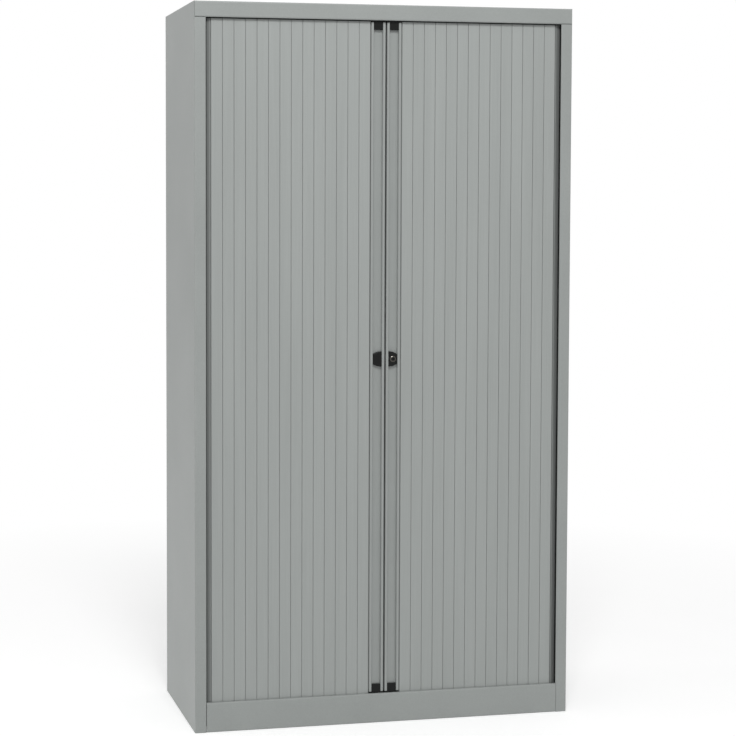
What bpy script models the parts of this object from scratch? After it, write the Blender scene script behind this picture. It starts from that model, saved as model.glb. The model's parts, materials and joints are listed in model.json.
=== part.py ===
"""Tambour door cabinet: a folded sheet-steel carcass with two slatted doors that run round the corners.

Metres, +Z up. The origin is the middle of the footprint on the floor. The front faces -Y.
"""

from math import asin
from math import atan2
from math import cos
from math import pi
from math import radians
from math import sin

import bmesh
import bpy
from mathutils import Matrix
from mathutils import Vector

# Driving sizes of the carcass
WIDTH = 1.000
DEPTH = 0.430
HEIGHT = 1.850
SHEET = 0.001
BEND_RADIUS = 0.003
HEADER_HEIGHT = 0.040
PILLAR_WIDTH = 0.030
PLINTH_HEIGHT = 0.076
BASE_DROP = 0.016
BASE_FLANGE = 0.045
REAR_RETURN = 0.025
TOP_REAR_FLANGE = 0.020
BACK_GROUND_GAP = 0.015
FIT = 0.0003
OVERRUN = 0.004
WELD = 0.0005

# Curtain and its corner
SLATS_PER_DOOR = 14
CURTAIN_SETBACK = 0.009
SIDE_CLEARANCE = 0.003
CORNER_RADIUS = 0.0355
SLAT_JOINT = 0.0006
SKIN = 0.0016
EDGE_RADIUS = 0.0009
LINK_DEPTH = 0.0045
BEAD_RADIUS = 0.0011
NECK_THICKNESS = 0.001
SOCKET_CLEARANCE = 0.0003
SOCKET_WALL = 0.001
SOCKET_WEB = 0.0007
FLANGE_SETBACK = 0.0032
FLANGE_THICKNESS = 0.0012
LIP_FRONT_ANGLE = radians(36)
LIP_REAR_ANGLE = radians(72)
SOCKET_LEAVE_ANGLE = radians(20)

# Glides at the slats' ends and lugs of the stile caps
GLIDE_WIDTH = 0.006
GLIDE_THICKNESS = 0.004
GLIDE_PLUG_WIDTH = 0.010
GLIDE_PLUG_LENGTH = 0.020
GLIDE_FOOT = 0.0014
CAP_LUG_WIDTH = 0.012

# Guide tracks
SLOT_WIDTH = 0.008
TRACK_WALL = 0.0015
LOWER_TRACK_HEIGHT = 0.012
UPPER_TRACK_HEIGHT = 0.034
LIFT_CLEARANCE = 0.008
TRACK_END_GAP = 0.010
TRACK_JOINT = 0.0006

# Leading stiles
STILE_WIDTH = 0.038
STILE_DEPTH = 0.020
STILE_PROUD = 0.0015
STILE_JOINT = 0.002
STILE_END_GAP = 0.001
MEETING_GAP = 0.004
RIDGE_WIDTH = 0.007
RIDGE_RADIUS = 0.0022
RECESS_DEPTH = 0.009
STILE_WALL = 0.002
STILE_STEP_DEPTH = 0.0032
STILE_STEP = 0.0015

# Stile end caps
CAP_PLATE = 0.003
CAP_HEIGHT = 0.019
CAP_SETBACK = 0.001
CAP_CHAMFER = 0.0012

# Grip, lock housing, lock cylinder and hooked cam
GRIP_CENTRE_SHARE = 0.511
GRIP_INNER_HEIGHT = 0.040
GRIP_OUTER_HEIGHT = 0.026
GRIP_SETBACK = 0.0004
GRIP_CROWN_DEPTH = 0.0024
GRIP_CROWN_INSET = 0.0026
GRIP_SHOULDER_DEPTH = 0.0009
GRIP_SHOULDER_INSET = 0.0008
GRIP_BOW_SHARE = 0.25
BARREL_RADIUS = 0.0085
BARREL_PROUD = 0.0006
BARREL_CHAMFER = 0.0006
KEYWAY_RADIUS = 0.0034
KEYWAY_DEPTH = 0.0012
KEYHOLE_WIDTH = 0.0015
KEYHOLE_HEIGHT = 0.0055
KEYHOLE_DEPTH = 0.006
TAIL_SIDE = 0.0064
TAIL_LENGTH = 0.0035
CAM_THICKNESS = 0.0025
CAM_GAP = 0.0006
CAM_HUB_RADIUS = 0.0075
CAM_ARM_WIDTH = 0.008
CAM_HOOK_GAP = 0.0006
CAM_HOOK_WIDTH = 0.005
CAM_HOOK_DROP = 0.008
HOOK_WINDOW_HEIGHT = 0.036
HOOK_WINDOW_DROP = 0.0046
HOOK_WINDOW_GAP = 0.0012

# Inner liners and shelves
LINER_INSET = 0.031
LINER_FRONT = 0.031
LINER_FRONT_FLANGE = 0.009
LINER_REAR_FLANGE = 0.012
BAY_COUNT = 5
SLOTS_PER_BAY = 7
SUPPORT_SLOT_WIDTH = 0.0036
SUPPORT_SLOT_HEIGHT = 0.0126
SUPPORT_INSET = 0.060
SHELF_FLANGE = 0.025
SHELF_RETURN = 0.012
SHELF_FRONT_GAP = 0.037
SHELF_REAR_GAP = 0.010
SHELF_BEND_RADIUS = 0.002
TAB_DROP = 0.013

# Levelling feet
FOOT_INSET_X = 0.070
FOOT_INSET_Y = 0.065
PAD_RADIUS = 0.019
PAD_RIM = 0.004
PAD_HEIGHT = 0.008
FOOT_COLLAR_RADIUS = 0.009
FOOT_COLLAR_HEIGHT = 0.006
STUD_RADIUS = 0.005
STUD_CHAMFER = 0.001
BUSH_WALL = 0.0035
BUSH_LENGTH = 0.030

# Segment counts, and the angle over which an edge stays sharp
ROUND_SEGMENTS = 20
BARREL_SEGMENTS = 28
CORNER_SEGMENTS = 8
BEND_SEGMENTS = 3
BEAD_SEGMENTS = 6
SLAT_EDGE_SEGMENTS = 2
SOCKET_FRONT_SEGMENTS = 2
SOCKET_REAR_SEGMENTS = 3
RIDGE_SEGMENTS = 3
HUB_SEGMENTS = 12
SHARP_ANGLE = radians(35)

# Derived planes of the carcass
HALF_WIDTH = WIDTH / 2
FRONT_Y = -DEPTH / 2
BACK_Y = DEPTH / 2
SIDE_INNER_X = HALF_WIDTH - SHEET
HEADER_BOTTOM = HEIGHT - HEADER_HEIGHT
TOP_UNDERSIDE = HEIGHT - SHEET
BASE_TOP = PLINTH_HEIGHT - BASE_DROP
BEND_OUTER = BEND_RADIUS + SHEET / 2
BACK_PANEL_FRONT_Y = BACK_Y - SHEET - FIT - SHEET
REAR_FLANGE_Y = BACK_Y - BEND_OUTER - FIT

# Derived path of the curtain: the links and the tracks share one line
CURTAIN_FRONT_Y = FRONT_Y + CURTAIN_SETBACK
LINK_Y = CURTAIN_FRONT_Y + LINK_DEPTH
LINK_X = SIDE_INNER_X - SIDE_CLEARANCE - LINK_DEPTH
CORNER_X = LINK_X - CORNER_RADIUS
CORNER_Y = LINK_Y + CORNER_RADIUS
TRACK_HALF = SLOT_WIDTH / 2 + TRACK_WALL
TRACK_FRONT_Y = LINK_Y - TRACK_HALF
RETURN_END_Y = TRACK_FRONT_Y - FIT
TRACK_END_Y = REAR_FLANGE_Y - SHEET - TRACK_END_GAP
STILE_START = MEETING_GAP / 2
SLATS_START = STILE_START + STILE_WIDTH + STILE_JOINT
SLAT_PITCH = (CORNER_X - SLATS_START) / SLATS_PER_DOOR

# Derived heights of the tracks, slats and stiles
LOWER_TRACK_BOTTOM = BASE_TOP + FIT
LOWER_TRACK_TOP = LOWER_TRACK_BOTTOM + LOWER_TRACK_HEIGHT
SLOT_FLOOR = LOWER_TRACK_BOTTOM + TRACK_WALL
UPPER_TRACK_TOP = TOP_UNDERSIDE - FIT
UPPER_TRACK_BOTTOM = UPPER_TRACK_TOP - UPPER_TRACK_HEIGHT
SLOT_CEILING = UPPER_TRACK_TOP - TRACK_WALL
LUG_BOTTOM = SLOT_FLOOR + FIT
LUG_TOP = SLOT_CEILING - LIFT_CLEARANCE
SLAT_BOTTOM = LOWER_TRACK_TOP + FIT + GLIDE_FOOT + FIT
SLAT_TOP = UPPER_TRACK_BOTTOM - FIT - GLIDE_FOOT - FIT
LOWER_PLATE_BOTTOM = PLINTH_HEIGHT + STILE_END_GAP
STILE_BOTTOM = LOWER_PLATE_BOTTOM + CAP_PLATE + FIT
UPPER_PLATE_TOP = HEADER_BOTTOM - STILE_END_GAP
STILE_TOP = UPPER_PLATE_TOP - CAP_PLATE - FIT
STILE_FRONT_Y = CURTAIN_FRONT_Y - STILE_PROUD
STILE_BACK_Y = STILE_FRONT_Y + STILE_DEPTH
RECESS_FLOOR_Y = STILE_FRONT_Y + RECESS_DEPTH
RECESS_WIDTH = STILE_WIDTH - 2 * RIDGE_WIDTH
STILE_CENTRE = STILE_START + STILE_WIDTH / 2
GRIP_CENTRE_Z = HEIGHT * GRIP_CENTRE_SHARE
CAM_FRONT_Y = RECESS_FLOOR_Y + STILE_WALL + CAM_GAP + TAIL_LENGTH - CAM_THICKNESS

# Derived places of the liners and shelves
LINER_FACE_X = SIDE_INNER_X - LINER_INSET
LINER_FRONT_Y = FRONT_Y + LINER_FRONT
LINER_REAR_Y = REAR_FLANGE_Y - BEND_OUTER
BAY_HEIGHT = (TOP_UNDERSIDE - BASE_TOP) / BAY_COUNT
SLOT_PITCH = BAY_HEIGHT / SLOTS_PER_BAY
SHELF_FRONT_Y = FRONT_Y + SHELF_FRONT_GAP
SHELF_REAR_Y = BACK_Y - SHELF_REAR_GAP
SHELF_HALF = LINER_FACE_X - FIT
SUPPORT_ROWS_Y = (SHELF_FRONT_Y + SUPPORT_INSET, SHELF_REAR_Y - SUPPORT_INSET)
BUSH_BOTTOM = BASE_TOP - SHEET - BUSH_LENGTH
STUD_TOP = BASE_TOP - SHEET


def clear_scene():
    """Remove every object that the scene starts with."""
    for item in list(bpy.data.objects):
        bpy.data.objects.remove(item, do_unlink=True)


def coat(item, finish):
    """Give one object its own Principled material in a named finish."""
    colour, metallic, roughness = finish
    material = bpy.data.materials.new(item.name + "_finish")
    material.use_nodes = True
    shader = material.node_tree.nodes["Principled BSDF"]
    shader.inputs["Base Color"].default_value = (*colour, 1.0)
    shader.inputs["Metallic"].default_value = metallic
    shader.inputs["Roughness"].default_value = roughness
    item.data.materials.clear()
    item.data.materials.append(material)


def add_object(name, mesh, location=(0, 0, 0)):
    """Link a mesh into the scene as a named object."""
    item = bpy.data.objects.new(name, mesh)
    item.location = location
    bpy.context.collection.objects.link(item)
    return item


def loft(name, rings, location=(0, 0, 0)):
    """Join equal rings of points one after another and close both ends."""
    shape = bmesh.new()
    loops = [[shape.verts.new(point) for point in ring] for ring in rings]
    count = len(rings[0])
    for lower, upper in zip(loops, loops[1:]):
        for index in range(count):
            after = (index + 1) % count
            shape.faces.new((lower[index], lower[after], upper[after], upper[index]))
    shape.faces.new(loops[0][::-1])
    shape.faces.new(loops[-1])
    bmesh.ops.recalc_face_normals(shape, faces=shape.faces)
    mesh = bpy.data.meshes.new(name)
    shape.to_mesh(mesh)
    shape.free()
    return add_object(name, mesh, location)


def prism_z(name, outline, bottom, top, location=(0, 0, 0)):
    """Extrude an XY outline from bottom to top."""
    return loft(name, [[(x, y, z) for x, y in outline] for z in (bottom, top)], location)


def prism_x(name, outline, left, right, location=(0, 0, 0)):
    """Extrude a YZ outline from left to right."""
    return loft(name, [[(x, y, z) for y, z in outline] for x in (left, right)], location)


def prism_y(name, outline, front, back, location=(0, 0, 0)):
    """Extrude an XZ outline from front to back."""
    return loft(name, [[(x, y, z) for x, z in outline] for y in (front, back)], location)


def box(name, low, high, location=(0, 0, 0)):
    """Make a block between two corners, given in any order."""
    x0, x1 = sorted((low[0], high[0]))
    y0, y1 = sorted((low[1], high[1]))
    z0, z1 = sorted((low[2], high[2]))
    return prism_z(name, [(x0, y0), (x1, y0), (x1, y1), (x0, y1)], z0, z1, location)


def arc(centre, radius, start, end, segments):
    """Return the points of an arc, both ends included."""
    angles = [start + (end - start) * step / segments for step in range(segments + 1)]
    return [(centre[0] + radius * cos(a), centre[1] + radius * sin(a)) for a in angles]


def turned(name, profile, segments, axis, location=(0, 0, 0)):
    """Turn a closed (radius, height) profile about Z or Y, from axis point to axis point."""
    shape = bmesh.new()
    rings = []
    for radius, height in profile:
        if radius == 0:
            rings.append([shape.verts.new((0, 0, height))])
            continue
        angles = [2 * pi * step / segments for step in range(segments)]
        rings.append([shape.verts.new((radius * cos(a), radius * sin(a), height)) for a in angles])
    for lower, upper in zip(rings, rings[1:]):
        for step in range(segments):
            after = (step + 1) % segments
            if len(lower) == 1:
                shape.faces.new((lower[0], upper[after], upper[step]))
            elif len(upper) == 1:
                shape.faces.new((lower[step], lower[after], upper[0]))
            else:
                shape.faces.new((lower[step], lower[after], upper[after], upper[step]))
    if axis == "Y":
        bmesh.ops.rotate(shape, verts=shape.verts, cent=(0, 0, 0), matrix=Matrix.Rotation(-pi / 2, 3, "X"))
    bmesh.ops.recalc_face_normals(shape, faces=shape.faces)
    mesh = bpy.data.meshes.new(name)
    shape.to_mesh(mesh)
    shape.free()
    mesh.shade_smooth()
    mesh.set_sharp_from_angle(angle=SHARP_ANGLE)
    return add_object(name, mesh, location)


def post(name, radius, bottom, top, location):
    """Make an upright round post."""
    profile = [(0, bottom), (radius, bottom), (radius, top), (0, top)]
    return turned(name, profile, ROUND_SEGMENTS, "Z", location)


def combine(base, others, operation):
    """Apply exact Booleans of the other objects to the base, then remove them."""
    for other in others:
        modifier = base.modifiers.new(operation.title(), "BOOLEAN")
        modifier.operation = operation
        modifier.object = other
        modifier.solver = "EXACT"
    bpy.context.view_layer.update()
    result = base.evaluated_get(bpy.context.evaluated_depsgraph_get())
    mesh = bpy.data.meshes.new_from_object(result)
    base.modifiers.clear()
    base.data = mesh
    for other in others:
        bpy.data.objects.remove(other, do_unlink=True)
    return base


def fuse(base, *others):
    """Join other objects to the base."""
    return combine(base, others, "UNION")


def cut(base, *others):
    """Cut other objects from the base."""
    return combine(base, others, "DIFFERENCE")


def folded(corners, radius):
    """Return the section of a sheet folded along centreline corners, with round bends."""
    points = [Vector(corner) for corner in corners]
    path = [(points[0], (points[1] - points[0]).normalized())]
    for before, corner, after in zip(points, points[1:], points[2:]):
        entry = (corner - before).normalized()
        leave = (after - corner).normalized()
        turn = atan2(entry.x * leave.y - entry.y * leave.x, entry.dot(leave))
        setback = radius * abs(sin(turn / 2) / cos(turn / 2))
        start = corner - entry * setback
        side = Vector((-entry.y, entry.x)) * (1 if turn > 0 else -1)
        centre = start + side * radius
        for step in range(BEND_SEGMENTS + 1):
            swing = Matrix.Rotation(turn * step / BEND_SEGMENTS, 2)
            path.append((centre + swing @ (start - centre), swing @ entry))
    path.append((points[-1], (points[-1] - points[-2]).normalized()))
    half = SHEET / 2
    left = [(place.x - way.y * half, place.y + way.x * half) for place, way in path]
    right = [(place.x + way.y * half, place.y - way.x * half) for place, way in path]
    return left + right[::-1]


def mirrored(outline, side):
    """Mirror an outline about x = 0 where side is -1."""
    return [(side * x, y) for x, y in outline]


# Carcass


def side_panel(name, side):
    """Full-height side sheet whose front fold is the corner pillar."""
    half = SHEET / 2
    lip_x = HALF_WIDTH - PILLAR_WIDTH + half
    section = folded(
        [
            (lip_x, RETURN_END_Y),
            (lip_x, FRONT_Y + half),
            (HALF_WIDTH - half, FRONT_Y + half),
            (HALF_WIDTH - half, BACK_Y - half),
            (HALF_WIDTH - REAR_RETURN, BACK_Y - half),
        ],
        BEND_RADIUS,
    )
    panel = prism_z(name, mirrored(section, side), 0, HEIGHT)
    notch = box(
        "header_notch",
        (side * (HALF_WIDTH - PILLAR_WIDTH - OVERRUN), FRONT_Y - OVERRUN, HEADER_BOTTOM - FIT),
        (side * SIDE_INNER_X, CURTAIN_FRONT_Y, HEIGHT + OVERRUN),
    )
    return cut(panel, notch)


def top_panel():
    """Top sheet with the header fascia, its bottom lip and a rear flange."""
    half = SHEET / 2
    rear_y = REAR_FLANGE_Y - half
    section = folded(
        [
            (rear_y, HEIGHT - TOP_REAR_FLANGE),
            (rear_y, HEIGHT - half),
            (FRONT_Y + half, HEIGHT - half),
            (FRONT_Y + half, HEADER_BOTTOM + half),
            (RETURN_END_Y, HEADER_BOTTOM + half),
        ],
        BEND_RADIUS,
    )
    end = SIDE_INNER_X - FIT
    return prism_x("top_panel", section, -end, end)


def back_panel():
    """Flat rear sheet held inside the rear returns of the sides, clear of their bends."""
    end = HALF_WIDTH - BEND_OUTER - FIT
    return box(
        "back_panel",
        (-end, BACK_PANEL_FRONT_Y, BACK_GROUND_GAP),
        (end, BACK_PANEL_FRONT_Y + SHEET, HEIGHT - FIT),
    )


def plinth_rail():
    """Channel-folded rail between the pillars, level with their faces."""
    half = SHEET / 2
    section = folded(
        [
            (RETURN_END_Y, PLINTH_HEIGHT - half),
            (FRONT_Y + half, PLINTH_HEIGHT - half),
            (FRONT_Y + half, half),
            (RETURN_END_Y, half),
        ],
        BEND_RADIUS,
    )
    end = HALF_WIDTH - PILLAR_WIDTH - FIT
    return prism_x("plinth_rail", section, -end, end)


def foot_places():
    """Return the plan position of each levelling foot by its name."""
    x = HALF_WIDTH - FOOT_INSET_X
    y = DEPTH / 2 - FOOT_INSET_Y
    return {
        "levelling_foot_front_left": (-x, -y),
        "levelling_foot_front_right": (x, -y),
        "levelling_foot_rear_left": (-x, y),
        "levelling_foot_rear_right": (x, y),
    }


def base_panel():
    """Floor of the cabinet with front and rear flanges and four foot bushes."""
    half = SHEET / 2
    section = folded(
        [
            (TRACK_FRONT_Y + half, BASE_TOP - BASE_FLANGE),
            (TRACK_FRONT_Y + half, BASE_TOP - half),
            (REAR_FLANGE_Y - half, BASE_TOP - half),
            (REAR_FLANGE_Y - half, BASE_TOP - BASE_FLANGE),
        ],
        BEND_RADIUS,
    )
    end = SIDE_INNER_X - FIT
    panel = prism_x("base_panel", section, -end, end)
    bushes = []
    bores = []
    for x, y in foot_places().values():
        bushes.append(post("bush", STUD_RADIUS + FIT + BUSH_WALL, BUSH_BOTTOM, STUD_TOP + half, (x, y, 0)))
        bores.append(post("bore", STUD_RADIUS + FIT, BUSH_BOTTOM - OVERRUN, BASE_TOP + OVERRUN, (x, y, 0)))
    return cut(fuse(panel, *bushes), *bores)


def levelling_foot(name, x, y):
    """Round pad and collar on a stud that turns in the base bush."""
    profile = [
        (0, 0),
        (PAD_RADIUS, 0),
        (PAD_RADIUS, PAD_RIM),
        (PAD_RADIUS - PAD_RIM, PAD_HEIGHT),
        (FOOT_COLLAR_RADIUS, PAD_HEIGHT),
        (FOOT_COLLAR_RADIUS, PAD_HEIGHT + FOOT_COLLAR_HEIGHT),
        (STUD_RADIUS, PAD_HEIGHT + FOOT_COLLAR_HEIGHT),
        (STUD_RADIUS, STUD_TOP - STUD_CHAMFER),
        (STUD_RADIUS - STUD_CHAMFER, STUD_TOP),
        (0, STUD_TOP),
    ]
    return turned(name, profile, ROUND_SEGMENTS, "Z", (x, y, 0))


def inner_liner(name, side):
    """Inner side sheet that hides the stored curtain and carries the shelves in two rows of slots."""
    half = SHEET / 2
    mid_x = LINER_FACE_X + half
    section = folded(
        [
            (mid_x + LINER_FRONT_FLANGE, LINER_FRONT_Y + half),
            (mid_x, LINER_FRONT_Y + half),
            (mid_x, LINER_REAR_Y - half),
            (mid_x - LINER_REAR_FLANGE, LINER_REAR_Y - half),
        ],
        SHELF_BEND_RADIUS,
    )
    liner = prism_z(name, mirrored(section, side), BASE_TOP + FIT, UPPER_TRACK_TOP)
    slots = []
    for y in SUPPORT_ROWS_Y:
        for step in range(1, BAY_COUNT * SLOTS_PER_BAY):
            centre_z = BASE_TOP + step * SLOT_PITCH - TAB_DROP
            slots.append((y, centre_z))
    return cut(liner, slot_cutter(slots, side))


def slot_cutter(slots, side):
    """Return one mesh of separate blocks, one for each support slot."""
    shape = bmesh.new()
    for y, z in slots:
        place = Matrix.Translation((side * (LINER_FACE_X + SHEET / 2), y, z))
        size = Matrix.Diagonal((2 * OVERRUN, SUPPORT_SLOT_WIDTH, SUPPORT_SLOT_HEIGHT, 1))
        bmesh.ops.create_cube(shape, size=1, matrix=place @ size)
    mesh = bpy.data.meshes.new("slot_cutter")
    shape.to_mesh(mesh)
    shape.free()
    return add_object("slot_cutter", mesh)


def shelf(name, level):
    """Folded steel shelf with end plates whose tabs fill the liner slots, flush with the curtain's side."""
    half = SHEET / 2
    low = level - SHELF_FLANGE + half
    section = folded(
        [
            (SHELF_FRONT_Y + SHELF_RETURN, low),
            (SHELF_FRONT_Y + half, low),
            (SHELF_FRONT_Y + half, level - half),
            (SHELF_REAR_Y - half, level - half),
            (SHELF_REAR_Y - half, low),
            (SHELF_REAR_Y - SHELF_RETURN, low),
        ],
        SHELF_BEND_RADIUS,
    )
    tray = prism_x(name, section, -SHELF_HALF, SHELF_HALF)
    inset = SHELF_BEND_RADIUS + SHEET
    pieces = []
    for side in (-1, 1):
        pieces.append(
            box(
                "end_plate",
                (side * SHELF_HALF, SHELF_FRONT_Y + inset, low + inset),
                (side * (SHELF_HALF - SHEET), SHELF_REAR_Y - inset, level - half),
            )
        )
        for y in SUPPORT_ROWS_Y:
            tab_half = SUPPORT_SLOT_WIDTH / 2 - FIT
            tab_rise = SUPPORT_SLOT_HEIGHT / 2 - FIT
            centre_z = level - TAB_DROP
            pieces.append(
                box(
                    "tab",
                    (side * (SHELF_HALF - half), y - tab_half, centre_z - tab_rise),
                    (side * (LINER_FACE_X + SHEET), y + tab_half, centre_z + tab_rise),
                )
            )
    return fuse(tray, *pieces)


# Tracks


def track(name, side, web_z, rim_z):
    """Slotted guide along half of the front, round the corner and back along the side."""
    stations = [(TRACK_JOINT / 2, LINK_Y, 0, -1)]
    for step in range(CORNER_SEGMENTS + 1):
        angle = pi / 2 * step / CORNER_SEGMENTS
        out_x = sin(angle)
        out_y = -cos(angle)
        stations.append((CORNER_X + CORNER_RADIUS * out_x, CORNER_Y + CORNER_RADIUS * out_y, out_x, out_y))
    stations.append((LINK_X, TRACK_END_Y, 1, 0))
    slot = SLOT_WIDTH / 2
    floor_z = web_z + TRACK_WALL if rim_z > web_z else web_z - TRACK_WALL
    section = [
        (-TRACK_HALF, web_z),
        (TRACK_HALF, web_z),
        (TRACK_HALF, rim_z),
        (slot, rim_z),
        (slot, floor_z),
        (-slot, floor_z),
        (-slot, rim_z),
        (-TRACK_HALF, rim_z),
    ]
    rings = []
    for x, y, out_x, out_y in stations:
        rings.append([(side * (x + out_x * offset), y + out_y * offset, z) for offset, z in section])
    return loft(name, rings)


# Curtain slats


def slat_section():
    """Return a slat's section as (distance from the inner link, depth from the front face).

    The inner end carries an open round socket and the outer end a bead on a neck, so each
    bead turns in the next slat's socket.
    """
    edge = SLAT_JOINT / 2
    outer = SLAT_PITCH - edge
    socket = BEAD_RADIUS + SOCKET_CLEARANCE
    rim = socket + SOCKET_WALL
    link = (0, LINK_DEPTH)
    bead = (SLAT_PITCH, LINK_DEPTH)
    front_lip = pi + LIP_FRONT_ANGLE
    rear_lip = pi - LIP_REAR_ANGLE
    web = 2 * pi - atan2((rim**2 - SOCKET_WEB**2) ** 0.5, SOCKET_WEB)
    neck = asin(NECK_THICKNESS / 2 / BEAD_RADIUS)
    flange_in = SLAT_PITCH - FLANGE_SETBACK - FLANGE_THICKNESS
    flange_out = SLAT_PITCH - FLANGE_SETBACK
    neck_low = LINK_DEPTH - NECK_THICKNESS / 2
    neck_high = LINK_DEPTH + NECK_THICKNESS / 2
    flange_end = LINK_DEPTH + rim
    points = arc((edge + EDGE_RADIUS, EDGE_RADIUS), EDGE_RADIUS, 1.5 * pi, pi, SLAT_EDGE_SEGMENTS)
    points += [(edge, SKIN), (SOCKET_WEB, SKIN)]
    points += arc(link, rim, web, front_lip, SOCKET_FRONT_SEGMENTS)
    points += arc(link, socket, front_lip, rear_lip + 2 * pi, BEAD_SEGMENTS)
    points += arc(link, rim, rear_lip, SOCKET_LEAVE_ANGLE, SOCKET_REAR_SEGMENTS)
    points += [(rim * cos(SOCKET_LEAVE_ANGLE), SKIN)]
    points += [(flange_in, SKIN), (flange_in, flange_end), (flange_out, flange_end), (flange_out, neck_high)]
    points += arc(bead, BEAD_RADIUS, pi - neck, -pi + neck, BEAD_SEGMENTS)
    points += [(flange_out, neck_low), (flange_out, SKIN), (outer, SKIN)]
    points += arc((outer - EDGE_RADIUS, EDGE_RADIUS), EDGE_RADIUS, 0, -pi / 2, SLAT_EDGE_SEGMENTS)
    return points


def glide(side, slat_end, lug_end):
    """Moulded glide: a plug behind the slat's flange, a foot over its end and a lug on the outer link."""
    sign = 1 if lug_end > slat_end else -1
    plug_end = slat_end - sign * GLIDE_PLUG_LENGTH
    foot_near = slat_end + sign * FIT
    foot_far = foot_near + sign * GLIDE_FOOT
    plug_out = SLAT_PITCH - FLANGE_SETBACK - FLANGE_THICKNESS + WELD
    plug_in = plug_out - GLIDE_PLUG_WIDTH
    lug_in = SLAT_PITCH - GLIDE_WIDTH / 2
    lug_out = SLAT_PITCH + GLIDE_WIDTH / 2
    outline = [
        (side * plug_in, plug_end),
        (side * plug_out, plug_end),
        (side * plug_out, foot_near),
        (side * lug_out, foot_near),
        (side * lug_out, lug_end),
        (side * lug_in, lug_end),
        (side * lug_in, foot_far),
        (side * plug_in, foot_far),
    ]
    return prism_y("glide", outline, -GLIDE_THICKNESS / 2, GLIDE_THICKNESS / 2)


def slat_mesh(side):
    """Build one slat about its inner link, with a glide in each end."""
    outline = [(side * u, v - LINK_DEPTH) for u, v in slat_section()]
    slat = prism_z("slat_blank", outline, SLAT_BOTTOM, SLAT_TOP)
    fuse(slat, glide(side, SLAT_BOTTOM, LUG_BOTTOM), glide(side, SLAT_TOP, LUG_TOP))
    mesh = slat.data
    bpy.data.objects.remove(slat, do_unlink=True)
    mesh.shade_smooth()
    mesh.set_sharp_from_angle(angle=SHARP_ANGLE)
    return mesh


def corner_turn():
    """Return the turn of the corner slat: a chord of the track's arc from link to link."""
    return asin(SLAT_PITCH / (2 * CORNER_RADIUS))


def door_slats(word, side):
    """Place the front slats and the slat that turns the corner."""
    mesh = slat_mesh(side)
    for index in range(SLATS_PER_DOOR):
        x = SLATS_START + index * SLAT_PITCH
        slat = add_object(f"{word}_slat_{index + 1:02d}", mesh.copy(), (side * x, LINK_Y, 0))
        coat(slat, SATIN_SLAT_GREY)
    corner = mesh.copy()
    turn = Matrix.Rotation(side * corner_turn(), 4, "Z")
    corner.transform(Matrix.Translation((0, LINK_Y - CORNER_Y, 0)) @ turn)
    slat = add_object(f"{word}_corner_slat", corner, (side * CORNER_X, CORNER_Y, 0))
    coat(slat, SATIN_SLAT_GREY)


# Leading stiles


def stile_section():
    """Return a stile's section as (distance from the meeting edge, depth from its front)."""
    step_u = STILE_WIDTH - STILE_STEP
    bead_u = STILE_WIDTH + STILE_JOINT
    link = STILE_PROUD + LINK_DEPTH
    neck = asin(NECK_THICKNESS / 2 / BEAD_RADIUS)
    radius = RIDGE_RADIUS
    recess_in = RIDGE_WIDTH
    recess_out = STILE_WIDTH - RIDGE_WIDTH
    under = RECESS_DEPTH + STILE_WALL
    wall_u = step_u - STILE_WALL
    neck_low = link - NECK_THICKNESS / 2
    neck_high = link + NECK_THICKNESS / 2
    points = arc((radius, radius), radius, pi, 1.5 * pi, RIDGE_SEGMENTS)
    points += arc((recess_in - radius, radius), radius, 1.5 * pi, 2 * pi, RIDGE_SEGMENTS)
    points += [(recess_in, RECESS_DEPTH), (recess_out, RECESS_DEPTH)]
    points += arc((recess_out + radius, radius), radius, pi, 1.5 * pi, RIDGE_SEGMENTS)
    points += arc((STILE_WIDTH - radius, radius), radius, 1.5 * pi, 2 * pi, RIDGE_SEGMENTS)
    points += [(STILE_WIDTH, STILE_STEP_DEPTH), (step_u, STILE_STEP_DEPTH), (step_u, neck_low)]
    points += arc((bead_u, link), BEAD_RADIUS, -pi + neck, pi - neck, BEAD_SEGMENTS)
    points += [(step_u, neck_high), (step_u, STILE_DEPTH), (wall_u, STILE_DEPTH), (wall_u, under)]
    points += [(STILE_WALL, under), (STILE_WALL, STILE_DEPTH), (0, STILE_DEPTH)]
    return points


def stile(name, side):
    """Extruded leading stile with the window that the lock's hook swings through."""
    outline = [(side * (STILE_START + u), STILE_FRONT_Y + v) for u, v in stile_section()]
    bar = prism_z(name, outline, STILE_BOTTOM, STILE_TOP)
    window = box(
        "hook_window",
        (side * (STILE_START - OVERRUN), CAM_FRONT_Y - HOOK_WINDOW_GAP, GRIP_CENTRE_Z - HOOK_WINDOW_DROP),
        (
            side * (STILE_START + STILE_WALL + WELD),
            CAM_FRONT_Y + CAM_THICKNESS + HOOK_WINDOW_GAP,
            GRIP_CENTRE_Z - HOOK_WINDOW_DROP + HOOK_WINDOW_HEIGHT,
        ),
    )
    cutters = [window]
    if side > 0:
        reach = BARREL_RADIUS + FIT
        hole = [
            (0, -OVERRUN),
            (reach, -OVERRUN),
            (reach, STILE_WALL + OVERRUN),
            (0, STILE_WALL + OVERRUN),
        ]
        place = (side * STILE_CENTRE, RECESS_FLOOR_Y, GRIP_CENTRE_Z)
        cutters.append(turned("barrel_hole", hole, BARREL_SEGMENTS, "Y", place))
    return cut(bar, *cutters)


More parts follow.
